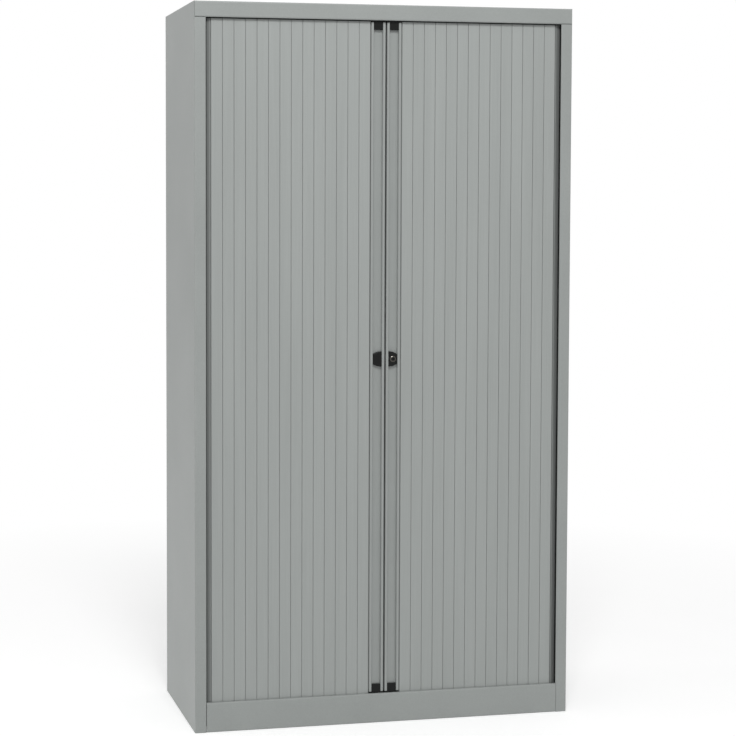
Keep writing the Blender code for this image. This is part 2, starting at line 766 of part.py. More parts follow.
def stile_cap(name, side, upper):
    """Moulded end cap: a block in the recess, a plate over the stile end and a guide lug."""
    sign = 1 if upper else -1
    plate_far = UPPER_PLATE_TOP if upper else LOWER_PLATE_BOTTOM
    plate_near = plate_far - sign * CAP_PLATE
    block_end = plate_near - sign * CAP_HEIGHT
    lug_far = LUG_TOP if upper else LUG_BOTTOM
    inner = STILE_CENTRE - RECESS_WIDTH / 2 + FIT
    outer = STILE_CENTRE + RECESS_WIDTH / 2 - FIT
    front = STILE_FRONT_Y + CAP_SETBACK
    rear = RECESS_FLOOR_Y - FIT
    side_view = [
        (rear, plate_near + sign * WELD),
        (front, plate_near + sign * WELD),
        (front, block_end + sign * CAP_CHAMFER),
        (front + CAP_CHAMFER, block_end),
        (rear, block_end),
    ]
    left, right = sorted((side * inner, side * outer))
    block = prism_x(name, side_view, left, right)
    plate = box(
        "plate",
        (side * STILE_START, STILE_FRONT_Y, plate_near),
        (side * (STILE_START + STILE_WIDTH), STILE_BACK_Y, plate_far),
    )
    lug = box(
        "lug",
        (side * (STILE_CENTRE - CAP_LUG_WIDTH / 2), LINK_Y - GLIDE_THICKNESS / 2, plate_far - sign * WELD),
        (side * (STILE_CENTRE + CAP_LUG_WIDTH / 2), LINK_Y + GLIDE_THICKNESS / 2, lug_far),
    )
    return fuse(block, plate, lug)


# Grip and lock


def grip_outline(inset):
    """Return the grip's XZ outline for the right stile, drawn in by an inset."""
    inner = STILE_CENTRE - RECESS_WIDTH / 2 + FIT + inset
    outer = STILE_CENTRE + RECESS_WIDTH / 2 - FIT - inset
    tall = GRIP_INNER_HEIGHT / 2 - inset
    short = GRIP_OUTER_HEIGHT / 2 - inset
    middle = (inner + outer) / 2
    shoulder = tall - (tall - short) * GRIP_BOW_SHARE
    return [
        (inner, -tall),
        (middle, -shoulder),
        (outer, -short),
        (outer, short),
        (middle, shoulder),
        (inner, tall),
    ]


def crowned_block(name, side):
    """Crowned block that fills the recess beside the meeting edge."""
    front = STILE_FRONT_Y + GRIP_SETBACK
    steps = [
        (RECESS_FLOOR_Y - FIT, 0),
        (front + GRIP_CROWN_DEPTH, 0),
        (front + GRIP_SHOULDER_DEPTH, GRIP_SHOULDER_INSET),
        (front, GRIP_CROWN_INSET),
    ]
    rings = [[(side * x, y, GRIP_CENTRE_Z + z) for x, z in grip_outline(inset)] for y, inset in steps]
    return loft(name, rings)


def lock_housing():
    """Crowned housing with the bore that holds the lock cylinder."""
    housing = crowned_block("lock_housing", 1)
    reach = BARREL_RADIUS + FIT
    length = RECESS_DEPTH + OVERRUN
    profile = [(0, -OVERRUN), (reach, -OVERRUN), (reach, length), (0, length)]
    place = (STILE_CENTRE, STILE_FRONT_Y, GRIP_CENTRE_Z)
    return cut(housing, turned("housing_bore", profile, BARREL_SEGMENTS, "Y", place))


def lock_cylinder():
    """Turned barrel with a dished face, a keyhole and a square tail for the cam."""
    front = -BARREL_PROUD
    back = RECESS_DEPTH + STILE_WALL
    profile = [
        (0, front + KEYWAY_DEPTH),
        (KEYWAY_RADIUS, front + KEYWAY_DEPTH),
        (KEYWAY_RADIUS + BARREL_CHAMFER, front),
        (BARREL_RADIUS - BARREL_CHAMFER, front),
        (BARREL_RADIUS, front + BARREL_CHAMFER),
        (BARREL_RADIUS, back),
        (0, back),
    ]
    place = (STILE_CENTRE, STILE_FRONT_Y, GRIP_CENTRE_Z)
    barrel = turned("lock_cylinder", profile, BARREL_SEGMENTS, "Y", place)
    half = TAIL_SIDE / 2
    tail = box("tail", (-half, back - WELD, -half), (half, back + CAM_GAP + TAIL_LENGTH, half), place)
    keyhole = box(
        "keyhole",
        (-KEYHOLE_WIDTH / 2, front, -KEYHOLE_HEIGHT / 2),
        (KEYHOLE_WIDTH / 2, front + KEYWAY_DEPTH + KEYHOLE_DEPTH, KEYHOLE_HEIGHT / 2),
        place,
    )
    return cut(fuse(barrel, tail), keyhole)


def lock_cam():
    """Hooked cam in its open place, pointing up, with the hook on its left side."""
    reach = STILE_CENTRE + STILE_START + STILE_WALL + CAM_HOOK_GAP
    far = reach + CAM_HOOK_WIDTH
    half = CAM_ARM_WIDTH / 2
    seat = asin(half / CAM_HUB_RADIUS)
    outline = arc((0, 0), CAM_HUB_RADIUS, pi / 2 + seat, 2.5 * pi - seat, HUB_SEGMENTS)
    outline += [(half, far), (-half - CAM_HOOK_DROP, far), (-half - CAM_HOOK_DROP, reach), (-half, reach)]
    place = (STILE_CENTRE, CAM_FRONT_Y, GRIP_CENTRE_Z)
    cam = prism_y("lock_cam", outline, 0, CAM_THICKNESS, place)
    hole = TAIL_SIDE / 2 + FIT
    square = box("square", (-hole, -OVERRUN, -hole), (hole, CAM_THICKNESS + OVERRUN, hole), place)
    return cut(cam, square)


# Finishes: colour, metallic value and roughness

POWDER_GREY = ((0.33, 0.35, 0.34), 0.0, 0.5)
SATIN_SLAT_GREY = ((0.35, 0.37, 0.36), 0.0, 0.45)
SATIN_STILE_GREY = ((0.30, 0.32, 0.31), 0.0, 0.4)
MOULDED_BLACK = ((0.012, 0.014, 0.013), 0.0, 0.5)
FOOT_BLACK = ((0.012, 0.014, 0.013), 0.0, 0.55)
TRACK_BLACK = ((0.03, 0.03, 0.03), 0.0, 0.5)
BRIGHT_PLATE = ((0.70, 0.70, 0.68), 1.0, 0.2)
ZINC_PLATE = ((0.50, 0.50, 0.48), 1.0, 0.35)

# Assembly

clear_scene()
coat(top_panel(), POWDER_GREY)
coat(back_panel(), POWDER_GREY)
coat(base_panel(), POWDER_GREY)
coat(plinth_rail(), POWDER_GREY)
for foot_name, (foot_x, foot_y) in foot_places().items():
    coat(levelling_foot(foot_name, foot_x, foot_y), FOOT_BLACK)
for shelf_number in range(1, BAY_COUNT):
    coat(shelf(f"shelf_{shelf_number}", BASE_TOP + shelf_number * BAY_HEIGHT), POWDER_GREY)
for hand, direction in (("left", -1), ("right", 1)):
    coat(side_panel(f"{hand}_side_panel", direction), POWDER_GREY)
    coat(inner_liner(f"{hand}_inner_liner", direction), POWDER_GREY)
    coat(track(f"{hand}_lower_track", direction, LOWER_TRACK_BOTTOM, LOWER_TRACK_TOP), TRACK_BLACK)
    coat(track(f"{hand}_upper_track", direction, UPPER_TRACK_TOP, UPPER_TRACK_BOTTOM), TRACK_BLACK)
    coat(stile(f"{hand}_stile", direction), SATIN_STILE_GREY)
    coat(stile_cap(f"{hand}_stile_upper_cap", direction, True), MOULDED_BLACK)
    coat(stile_cap(f"{hand}_stile_lower_cap", direction, False), MOULDED_BLACK)
    door_slats(hand, direction)
coat(crowned_block("left_grip", -1), MOULDED_BLACK)
coat(lock_housing(), MOULDED_BLACK)
coat(lock_cylinder(), BRIGHT_PLATE)
coat(lock_cam(), ZINC_PLATE)
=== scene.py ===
# %% [markdown]
# # A steel cabinet with two tambour doors
#
# The real object is an office cabinet: a carcass folded from one-millimetre sheet steel, and two doors made of narrow
# plastic slats that run sideways, turn the front corners in a guide track and vanish along the sides.
# The solids come ready made from the CAD model. This lesson dresses them: it gives each one its real finish, adds
# rounder forms where the solids are coarse, and sets up the light and the camera.

# %% Load the frame
import json
import math

import bmesh
import bpy
import numpy as np
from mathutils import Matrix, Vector


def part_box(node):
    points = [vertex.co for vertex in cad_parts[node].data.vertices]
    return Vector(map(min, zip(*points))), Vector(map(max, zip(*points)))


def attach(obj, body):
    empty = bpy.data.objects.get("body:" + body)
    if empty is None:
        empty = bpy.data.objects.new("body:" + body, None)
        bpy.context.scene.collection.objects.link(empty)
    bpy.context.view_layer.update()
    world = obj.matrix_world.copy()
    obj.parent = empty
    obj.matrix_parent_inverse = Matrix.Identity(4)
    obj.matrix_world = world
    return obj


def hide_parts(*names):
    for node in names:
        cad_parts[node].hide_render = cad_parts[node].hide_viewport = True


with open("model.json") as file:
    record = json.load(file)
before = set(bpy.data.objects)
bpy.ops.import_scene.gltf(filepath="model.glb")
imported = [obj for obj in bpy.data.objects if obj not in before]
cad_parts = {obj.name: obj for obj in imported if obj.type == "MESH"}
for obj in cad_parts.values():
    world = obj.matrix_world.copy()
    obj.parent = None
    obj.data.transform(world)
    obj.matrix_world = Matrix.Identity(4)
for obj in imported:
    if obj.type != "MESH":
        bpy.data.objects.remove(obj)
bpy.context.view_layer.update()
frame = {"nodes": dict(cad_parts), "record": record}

# %% [markdown]
# ## The camera
#
# The photograph was taken from the cabinet's front left, at about three quarters of its height, with a long lens. The
# place below was found by fitting a pinhole camera to the outer corners of the carcass. The picture is a cut-out of a
# larger frame, so part of the aim comes from a shifted lens, and the uprights lean together only slightly.

# %% Place the camera
SENSOR_MM = 36
LENS_MM = 91.25
CAMERA_PLACE = (-1.3499, -4.8135, 1.3507)
CAMERA_PITCH_DEG = 90 - 3.180
CAMERA_TURN_DEG = -12.013
CAMERA_SHIFT = (0.1675, -0.0856)

camera_data = bpy.data.cameras.new("catalogue_camera")
camera_data.sensor_width = SENSOR_MM
camera_data.lens = LENS_MM
camera_data.shift_x, camera_data.shift_y = CAMERA_SHIFT
camera = bpy.data.objects.new("catalogue_camera", camera_data)
camera.location = CAMERA_PLACE
camera.rotation_euler = (math.radians(CAMERA_PITCH_DEG), 0, math.radians(CAMERA_TURN_DEG))
bpy.context.scene.collection.objects.link(camera)
bpy.context.scene.camera = camera
print("camera", [round(value, 3) for value in camera.location], "lens", LENS_MM, "mm")

# %% [markdown]
# ## Colours and nodes
#
# A colour picked from a screen is written in sRGB, but a shader works in linear light. One function turns the first
# into the second. A second function adds any node, sets it up and connects it, so that a material reads as a short
# list of what it is made from.


# %% Helpers for colours and nodes
def linear(hex_colour):
    """Turn an sRGB hex colour into linear light: c/12.92 in the darks, else ((c + 0.055)/1.055) to the power 2.4."""
    parts = np.array([int(hex_colour[start:start + 2], 16) for start in (1, 3, 5)]) / 255
    light = np.where(parts <= 0.04045, parts / 12.92, ((parts + 0.055) / 1.055) ** 2.4)
    return (*light.tolist(), 1.0)


def add_node(tree, kind, inputs=None, **settings):
    """Add a node, apply its settings, then give each named or numbered socket a constant or a link."""
    node = tree.nodes.new(kind)
    for name, value in settings.items():
        setattr(node, name, value)
    for name, value in (inputs or {}).items():
        socket = node.inputs[name]
        if isinstance(value, bpy.types.NodeSocket):
            tree.links.new(value, socket)
        else:
            socket.default_value = value
    return node


def new_material(name, constants):
    """Return a material's tree and Principled shader, with constants set on the shader's own sockets."""
    material = bpy.data.materials.new(name)
    material.use_nodes = True
    shader = material.node_tree.nodes["Principled BSDF"]
    for socket, value in constants.items():
        shader.inputs[socket].default_value = value
    return material, material.node_tree, shader


print("mid grey #808080 in linear light:", round(linear("#808080")[0], 4))

# %% [markdown]
# ## How a finish is built
#
# Most finishes here share one recipe. A fine noise, in object coordinates and at a real grain size in millimetres,
# makes the surface's relief. A broad noise shifts the colour and the gloss by a hair, because no large painted or
# moulded face is perfectly even. Stretching the fine noise along one axis turns grain into the lines that an
# extrusion die leaves.

# %% A recipe for painted, moulded and extruded finishes
MM = 0.001
MIX_FACTOR, MIX_A, MIX_B, MIX_OUT = 0, 6, 7, 2
GRAIN_DETAIL, CLOUD_DETAIL = 2.0, 3.0
NOISE_LOW, NOISE_HIGH = 0.3, 0.7
SUM_LOW, SUM_HIGH = 0.7, 1.3
EVEN_CLOUDS_MM = (180, 180, 180)
RELIEF_STRENGTH = 0.4


def make_finish(name, pale, deep, grain_mm, relief_mm, gloss, cloud_mm=EVEN_CLOUDS_MM, shader_set=None, depth_shade=None):
    """Noise at grain_mm drives the bump and a speckle; noise at cloud_mm shifts colour and roughness.

    A noise seldom leaves the span from NOISE_LOW to NOISE_HIGH, and the sum of two seldom the span of the sums.
    Depth shade, if given, is (first y, last y, share, colour): a painted shade whose share grows from nothing to full
    between the two depths, so faces further behind come out darker.
    """
    material, tree, shader = new_material(name, shader_set or {})
    place = add_node(tree, "ShaderNodeTexCoord").outputs["Object"]
    noises = []
    for size_mm, detail in ((grain_mm, GRAIN_DETAIL), (cloud_mm, CLOUD_DETAIL)):
        scale = [1 / (size * MM) for size in size_mm]
        scaled = add_node(tree, "ShaderNodeMapping", {"Vector": place, "Scale": scale})
        noise = add_node(tree, "ShaderNodeTexNoise", {"Vector": scaled.outputs[0], "Scale": 1.0, "Detail": detail})
        noises.append(noise.outputs["Fac"])
    fine, broad = noises
    both = add_node(tree, "ShaderNodeMath", {0: fine, 1: broad}, operation="ADD")
    blend = {"Value": both.outputs[0], "From Min": SUM_LOW, "From Max": SUM_HIGH}
    share = add_node(tree, "ShaderNodeMapRange", blend)
    tones = {MIX_FACTOR: share.outputs[0], MIX_A: linear(deep), MIX_B: linear(pale)}
    colour = add_node(tree, "ShaderNodeMix", tones, data_type="RGBA")
    # Painted shade: faces behind the front are mixed towards a dark colour, more the deeper they lie.
    if depth_shade:
        first_y, last_y, shade_share, shade_colour = depth_shade
        depth = add_node(tree, "ShaderNodeSeparateXYZ", {"Vector": place}).outputs["Y"]
        ramp = {"Value": depth, "From Min": first_y, "From Max": last_y, "To Max": shade_share}
        shade_amount = add_node(tree, "ShaderNodeMapRange", ramp).outputs[0]
        layers = {MIX_FACTOR: shade_amount, MIX_A: colour.outputs[MIX_OUT], MIX_B: linear(shade_colour)}
        colour = add_node(tree, "ShaderNodeMix", layers, data_type="RGBA")
    span = {"Value": broad, "From Min": NOISE_LOW, "From Max": NOISE_HIGH, "To Min": gloss[0], "To Max": gloss[1]}
    rough = add_node(tree, "ShaderNodeMapRange", span)
    relief = {"Height": fine, "Strength": RELIEF_STRENGTH, "Distance": relief_mm * MM}
    bump = add_node(tree, "ShaderNodeBump", relief)
    tree.links.new(colour.outputs[MIX_OUT], shader.inputs["Base Color"])
    tree.links.new(rough.outputs[0], shader.inputs["Roughness"])
    tree.links.new(bump.outputs[0], shader.inputs["Normal"])
    return material


print("recipe ready: fine noise for relief, broad noise for colour and gloss")

# %% [markdown]
# ## Powder-coated steel
#
# The carcass is mild steel sheet. Dry polyester powder is charged, blown onto it and baked, and as it melts it flows
# into a shallow orange peel with waves one to three millimetres long. To the eye that is an even, satin grey whose
# highlights break up softly. At this picture's scale a pixel is about 2.6 mm wide, so the waves are drawn 3 mm long.

# %% Powder-coated steel
powder_coated_steel = make_finish(
    "powder_coated_steel",
    pale="#9FA3A1",
    deep="#989C9A",
    grain_mm=(3.0, 3.0, 3.0),
    relief_mm=0.05,
    gloss=(0.42, 0.50),
)
print("orange peel: waves 3 mm long, 0.05 mm high")

# %% [markdown]
# ## Extruded PVC
#
# The slats are rigid PVC pushed through a steel die, so every scratch in the die becomes a faint line that runs the
# whole length of the slat. The eye sees a flat grey with a fine upright grain. The real lines are 0.2 to 0.5 mm
# apart. They are drawn 1.5 mm apart, because finer ones would only turn into noise in the picture. A painted shade
# darkens every face that lies behind the slats' front: the walls of the joints and the slat that turns away in the
# corner. It starts 0.4 mm behind the face and is full one millimetre further in.

# %% Extruded PVC for the slats
# Painted shade on the slats: it starts 0.4 mm behind their front and is full 1.4 mm behind it.
SHADE_FIRST_Y, SHADE_FULL_Y = -0.2056, -0.2046
SHADE_SHARE = 0.5

extruded_pvc = make_finish(
    "extruded_pvc",
    pale="#A4A8A6",
    deep="#9EA2A0",
    grain_mm=(1.5, 1.5, 220.0),
    relief_mm=0.03,
    gloss=(0.40, 0.48),
    cloud_mm=(45, 45, 700),
    # The painted shade's colour is the dark grey #3E403F.
    depth_shade=(SHADE_FIRST_Y, SHADE_FULL_Y, SHADE_SHARE, "#3E403F"),
)
print("die lines: 1.5 mm apart, 220 mm long")

# %% [markdown]
# ## Lacquered aluminium
#
# The two leading stiles are aluminium extrusions with a baked satin lacquer. The lacquer levels better than powder
# does, so the ridges carry a brighter and tighter highlight than the slats beside them.

# %% Lacquered aluminium for the stiles
lacquered_aluminium = make_finish(
    "lacquered_aluminium",
    pale="#9EA2A0",
    deep="#989C9A",
    grain_mm=(1.2, 1.2, 300.0),
    relief_mm=0.02,
    gloss=(0.30, 0.38),
)
print("lacquer: die lines 1.2 mm apart, roughness 0.30 to 0.38")

# %% [markdown]
# ## Moulded black plastics
#
# The caps, the grip and the lock housing are ABS, injection moulded in a tool whose faces were spark eroded. That
# leaves a fine matt grain, about 0.3 mm, so black stays black and edges show a soft grey sheen. The grain is drawn at
# 0.8 mm. The guide tracks are acetal, a waxy black bearing plastic, and the feet are polypropylene, a shade duller.

# %% ABS, acetal and polypropylene
MATT_BLACK_GLARE = {"Specular IOR Level": 0.2}
spark_grained_abs = make_finish(
    "spark_grained_abs",
    pale="#111312",
    deep="#0B0D0C",
    grain_mm=(0.8, 0.8, 0.8),
    relief_mm=0.03,
    gloss=(0.36, 0.46),
    shader_set=MATT_BLACK_GLARE,
)
extruded_acetal = make_finish(
    "extruded_acetal",
    pale="#1E201F",
    deep="#171918",
    grain_mm=(40.0, 40.0, 0.8),
    relief_mm=0.02,
    gloss=(0.32, 0.42),
    shader_set=MATT_BLACK_GLARE,
)
moulded_polypropylene = make_finish(
    "moulded_polypropylene",
    pale="#1E201F",
    deep="#171918",
    grain_mm=(1.0, 1.0, 1.0),
    relief_mm=0.03,
    gloss=(0.48, 0.58),
    shader_set=MATT_BLACK_GLARE,
)
print("black plastics:", spark_grained_abs.name, extruded_acetal.name, moulded_polypropylene.name)

# %% [markdown]
# ## Plated metals
#
# The lock's barrel is turned brass with a nickel plate. Its base colour is a dark smoky grey, which paints in the dark
# reflection of the room in front of the cabinet. Turning leaves rings round its axis, and the plate copies them, so a
# highlight spreads into a small fan. The cam behind it is stamped steel with a dull zinc plate, a bluish grey with a
# fine crystalline mottle. Both are metals, so their colour is in the reflection.

# %% Nickel with a painted dark reflection
lock_low, lock_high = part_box("lock_cylinder")
lock_centre = [(low + high) / 2 for low, high in zip(lock_low, lock_high)]

TURNED_RING_MM = 0.6
WAVES_PER_UNIT = 20
NICKEL_GLOSS = {"To Min": 0.20, "To Max": 0.30}
NICKEL_RELIEF = {"Strength": 0.15, "Distance": 0.02 * MM}

# The dark base colour #4C4A46 paints the dark reflection of the room onto the plate.
nickel_painted_dark_reflection, tree, shader = new_material("nickel_painted_dark_reflection", {"Metallic": 1.0, "Base Color": linear("#4C4A46")})
place = add_node(tree, "ShaderNodeTexCoord").outputs["Object"]
centred = add_node(tree, "ShaderNodeMapping", {"Vector": place, "Location": [-value for value in lock_centre]})
cutting = {"Vector": centred.outputs[0], "Scale": 1 / (TURNED_RING_MM * MM * WAVES_PER_UNIT), "Distortion": 0.4}
marks = add_node(tree, "ShaderNodeTexWave", cutting, wave_type="RINGS", rings_direction="Y").outputs["Fac"]
rough = add_node(tree, "ShaderNodeMapRange", {"Value": marks, **NICKEL_GLOSS})
bump = add_node(tree, "ShaderNodeBump", {"Height": marks, **NICKEL_RELIEF})
tree.links.new(rough.outputs[0], shader.inputs["Roughness"])
tree.links.new(bump.outputs[0], shader.inputs["Normal"])
print("lock centre, metres:", [round(value, 4) for value in lock_centre])

# %% Zinc plate
CRYSTAL_MM = 1.5
ZINC_GLOSS = {"To Min": 0.3, "To Max": 0.42}

zinc_plate, tree, shader = new_material("zinc_plate", {"Metallic": 1.0})
place = add_node(tree, "ShaderNodeTexCoord").outputs["Object"]
grown = {"Vector": place, "Scale": 1 / (CRYSTAL_MM * MM)}
crystals = add_node(tree, "ShaderNodeTexVoronoi", grown).outputs["Distance"]
tones = {MIX_FACTOR: crystals, MIX_A: linear("#B9BCC0"), MIX_B: linear("#A5A8AC")}
tint = add_node(tree, "ShaderNodeMix", tones, data_type="RGBA")
rough = add_node(tree, "ShaderNodeMapRange", {"Value": crystals, **ZINC_GLOSS})
tree.links.new(tint.outputs[MIX_OUT], shader.inputs["Base Color"])
tree.links.new(rough.outputs[0], shader.inputs["Roughness"])
print("zinc crystals, millimetres:", CRYSTAL_MM)

# %% [markdown]
# ## Giving every solid its finish
#
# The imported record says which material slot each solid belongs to, so a small table from slot to finish dresses the
# whole cabinet, and no solid can be forgotten.

# %% Dress the solids
FINISH_OF_SLOT = {
    "carcass_paint": powder_coated_steel,
    "slat_plastic": extruded_pvc,
    "stile_finish": lacquered_aluminium,
    "black_plastic": spark_grained_abs,
    "track_plastic": extruded_acetal,
    "foot_plastic": moulded_polypropylene,
    "lock_chrome": nickel_painted_dark_reflection,
    "cam_zinc": zinc_plate,
}
slot_of_node = {part["node"]: part["material_slot"] for part in frame["record"]["subparts"]}
body_of_node = {node: body for body, nodes in frame["record"]["behaviour"]["bodies"].items() for node in nodes}
for node, item in frame["nodes"].items():
    item.data.materials.clear()
    item.data.materials.append(FINISH_OF_SLOT[slot_of_node[node]])
print(len(frame["nodes"]), "solids dressed in", len(set(slot_of_node.values())), "finishes")

# %% [markdown]
# ## Surfaces from rings
#
# Every new form here is a stack of closed rings with the same number of points. Neighbouring rings are joined with
# quads and the two ends are closed, so any lathe-turned, moulded or extruded shape is one array of points: rings by
# points by three. The normals are then turned outwards, and edges sharper than a set angle stay crisp.


# %% Helpers for surfaces from rings
SHARP_DEG = 35
MERGE_REACH = 1e-6


def ring_faces(ring_count, points_per_ring):
    """Quads between ring r and r + 1 at points k and k + 1, the last point joined to the first."""
    ring, point = np.meshgrid(np.arange(ring_count - 1), np.arange(points_per_ring), indexing="ij")
    here = ring * points_per_ring + point
    beside = ring * points_per_ring + (point + 1) % points_per_ring
    return np.stack([here, beside, beside + points_per_ring, here + points_per_ring], axis=-1).reshape(-1, 4)


def close_rings(name, rings, finish, sharp_deg=SHARP_DEG, hollow=False):
    """Make a closed object from rings (rings, points, 3), with a face at each end or, if hollow, the ends joined."""
    count, points = rings.shape[:2]
    last = (count - 1) * points
    faces = ring_faces(count, points).tolist()
    if hollow:
        faces += ((ring_faces(2, points) + last) % (count * points)).tolist()
    else:
        faces += [list(range(points)), list(range(last, last + points))]
    mesh = bpy.data.meshes.new(name)
    mesh.from_pydata(rings.reshape(-1, 3).tolist(), [], faces)
    return finish_mesh(name, mesh, finish, sharp_deg)


def finish_mesh(name, mesh, finish, sharp_deg):
    """Merge doubles, turn the normals outwards, shade smooth below the sharp angle and link the object."""
    shape = bmesh.new()
    shape.from_mesh(mesh)
    bmesh.ops.remove_doubles(shape, verts=shape.verts, dist=MERGE_REACH)
    bmesh.ops.recalc_face_normals(shape, faces=shape.faces)
    shape.to_mesh(mesh)
    shape.free()
    mesh.shade_smooth()
    mesh.set_sharp_from_angle(angle=math.radians(sharp_deg))
    mesh.materials.clear()
    mesh.materials.append(finish)
    item = bpy.data.objects.new(name, mesh)
    bpy.context.scene.collection.objects.link(item)
    return item


def stand_for(item, node):
    """Ride on the node's body and show in its place, hiding the node."""
    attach(item, body_of_node[node])
    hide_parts(node)
    print(f"{item.name}: {len(item.data.polygons)} faces for {node}")


print("a stack of 3 rings of 4 points has", len(ring_faces(3, 4)), "quads")

# %% [markdown]
# ## The grip and the lock housing
#
# Both are small ABS mouldings that fill the recess of their stile: a half hexagon seen from the front, tall beside
# the meeting line and short on the far side, with a crowned edge that a finger can hook behind. The outline is a
# polygon with rounded corners. It climbs from the recess floor, rolls over a quarter of a circle and ends in a
# slightly domed face.

# %% The rounded half hexagon
BEND_POINTS = 8
SIDE_POINTS = 15
OUTER_SHARE = 0.65
BOW_SHARE = 0.25


def rounded_outline(corners, radius):
    """Round a counter-clockwise polygon: its corners drawn in by the radius, plus radius times a unit vector.

    At a corner the drawn-in point rests and the vector sweeps the bend. Along a side the vector rests and the point
    slides to the next corner. Returns both, so that point + distance * vector is the outline at any distance.
    """
    ahead = np.roll(corners, -1, axis=0) - corners
    ahead = ahead / np.linalg.norm(ahead, axis=1, keepdims=True)
    normals = np.stack([ahead[:, 1], -ahead[:, 0]], axis=1)
    before = np.roll(normals, 1, axis=0)
    bisector = before + normals
    centres = corners - radius * bisector / (bisector * normals).sum(axis=1, keepdims=True)
    start = np.arctan2(before[:, 1], before[:, 0])
    turn = np.mod(np.arctan2(normals[:, 1], normals[:, 0]) - start, 2 * np.pi)
    angles = start[:, None] + turn[:, None] * np.linspace(0, 1, BEND_POINTS)
    bend_vectors = np.stack([np.cos(angles), np.sin(angles)], axis=-1)
    bend_points = np.repeat(centres[:, None], BEND_POINTS, axis=1)
    share = np.linspace(0, 1, SIDE_POINTS + 2)[None, 1:-1, None]
    side_points = centres[:, None] * (1 - share) + np.roll(centres, -1, axis=0)[:, None] * share
    side_vectors = np.repeat(normals[:, None], SIDE_POINTS, axis=1)
    points = np.concatenate([bend_points, side_points], axis=1).reshape(-1, 2)
    vectors = np.concatenate([bend_vectors, side_vectors], axis=1).reshape(-1, 2)
    return points, vectors


def half_hexagon(node):
    """Return the node's outline in XZ, counter-clockwise: its tall side is the one nearest x = 0."""
    low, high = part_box(node)
    tall = (high.z - low.z) / 2
    inner, outer = sorted((low.x, high.x), key=abs)
    middle = (inner + outer) / 2
    short = tall * OUTER_SHARE
    shoulder = tall - (tall - short) * BOW_SHARE
    corners = [(inner, -tall), (middle, -shoulder), (outer, -short), (outer, short), (middle, shoulder), (inner, tall)]
    if outer < inner:
        corners = corners[::-1]
    return np.array(corners) + np.array([0, (high.z + low.z) / 2])


grip_corners = half_hexagon("left_grip")
print("grip outline, millimetres:", np.round(grip_corners / MM, 1).tolist())

# %% Crown the grip
CROWN_RADIUS = 0.0024
CROWN_STEPS = 7
DOME_HEIGHT = 0.0003
DOME_SHARES = np.array([0.75, 0.5, 0.25, 0.04])


def lift(flat, depth):
    """Give XZ points (rings, points, 2) one depth per ring and return XYZ."""
    level = np.broadcast_to(np.asarray(depth)[:, None], flat.shape[:2])
    return np.stack([flat[..., 0], level, flat[..., 1]], axis=-1)


def crowned_edge(node):
    """The wall and the quarter-round edge: distance R cos t and depth R (1 - sin t), t from 0 to 90 degrees."""
    points, vectors = rounded_outline(half_hexagon(node), CROWN_RADIUS)
    low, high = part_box(node)
    t = np.linspace(0, np.pi / 2, CROWN_STEPS)
    distance = np.concatenate([[CROWN_RADIUS], CROWN_RADIUS * np.cos(t)])
    depth = np.concatenate([[high.y], low.y + DOME_HEIGHT + CROWN_RADIUS * (1 - np.sin(t))])
    flat = points[None] + distance[:, None, None] * vectors[None]
    return lift(flat, depth), points


edge, core = crowned_edge("left_grip")
heart = (core.min(axis=0) + core.max(axis=0)) / 2
dome_outlines = heart + (core - heart)[None] * DOME_SHARES[:, None, None]
dome = lift(dome_outlines, edge[-1, 0, 1] - DOME_HEIGHT * (1 - DOME_SHARES ** 2))
grip = close_rings("grip_moulding", np.concatenate([edge, dome]), spark_grained_abs)
stand_for(grip, "left_grip")

# %% [markdown]
# ## The lock housing's bore
#
# The housing is the mirror image of the grip, with a round bore for the barrel. The face runs from the half hexagon
# straight to a circle, a small chamfer leads into the bore, and the bore's wall runs back to the recess floor. The
# stack of rings has no ends: its last ring joins its first across the back, like a ring-shaped cake.

# %% Bore the lock housing
BORE_RADIUS = 0.0088
BORE_CHAMFER = 0.0003


def ring_at(angles, radii, depth):
    """One ring about the lock's axis: centre + radius * (cos, sin), at one depth."""
    x = lock_centre[0] + radii * np.cos(angles)
    z = lock_centre[2] + radii * np.sin(angles)
    return np.stack([x, np.full_like(x, depth), z], axis=-1)


edge, core = crowned_edge("lock_housing")
around = np.arctan2(core[:, 1] - lock_centre[2], core[:, 0] - lock_centre[0])
mouth = edge[-1, 0, 1]
bore = np.stack([
    ring_at(around, BORE_RADIUS + BORE_CHAMFER, mouth),
    ring_at(around, BORE_RADIUS, mouth + BORE_CHAMFER),
    ring_at(around, BORE_RADIUS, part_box("lock_housing")[1].y),
])
housing = close_rings("lock_housing_moulding", np.concatenate([edge, bore]), spark_grained_abs, hollow=True)
stand_for(housing, "lock_housing")

# %% [markdown]
# ## The lock's barrel
#
# A cam lock's barrel shows three things from the front: a polished cone, a dark groove, and a plug with the keyhole,
# coloured black to paint the shade in the keyhole and on the plug's face. All of it is turned except the keyhole and
# the square tail that carries the cam, so the rings change from a square to circles and end as a slot with round ends.
# Each ring is a radius that depends on the angle.

# %% Turn the barrel
BARREL_POINTS = 72
NEARLY_ZERO = 1e-9
TAIL_HALF = 0.0032
STILE_WALL_BACK = 0.0110
SLOT_HALF_WIDTH = 0.00075
SLOT_HALF_STRAIGHT = 0.0020
SLOT_DEPTH = 0.006
SLOT_FLARE = 1.15
SLOT_MOUTH_DEPTHS = (0.0001, 0.0003)
PLUG_RADIUS = 0.00465
BARREL_PROUD = 0.0006
BARREL_PROFILE_MM = [
    (8.50, 2.10), (8.47, 1.90), (8.36, 1.70), (8.15, 1.52), (7.40, 1.14), (6.60, 0.72), (5.90, 0.36), (5.50, 0.16),
    (5.25, 0.10), (5.05, 0.25), (5.00, 1.10), (4.70, 1.10), (4.64, 0.35), (4.50, 0.20), (3.60, 0.12),
]

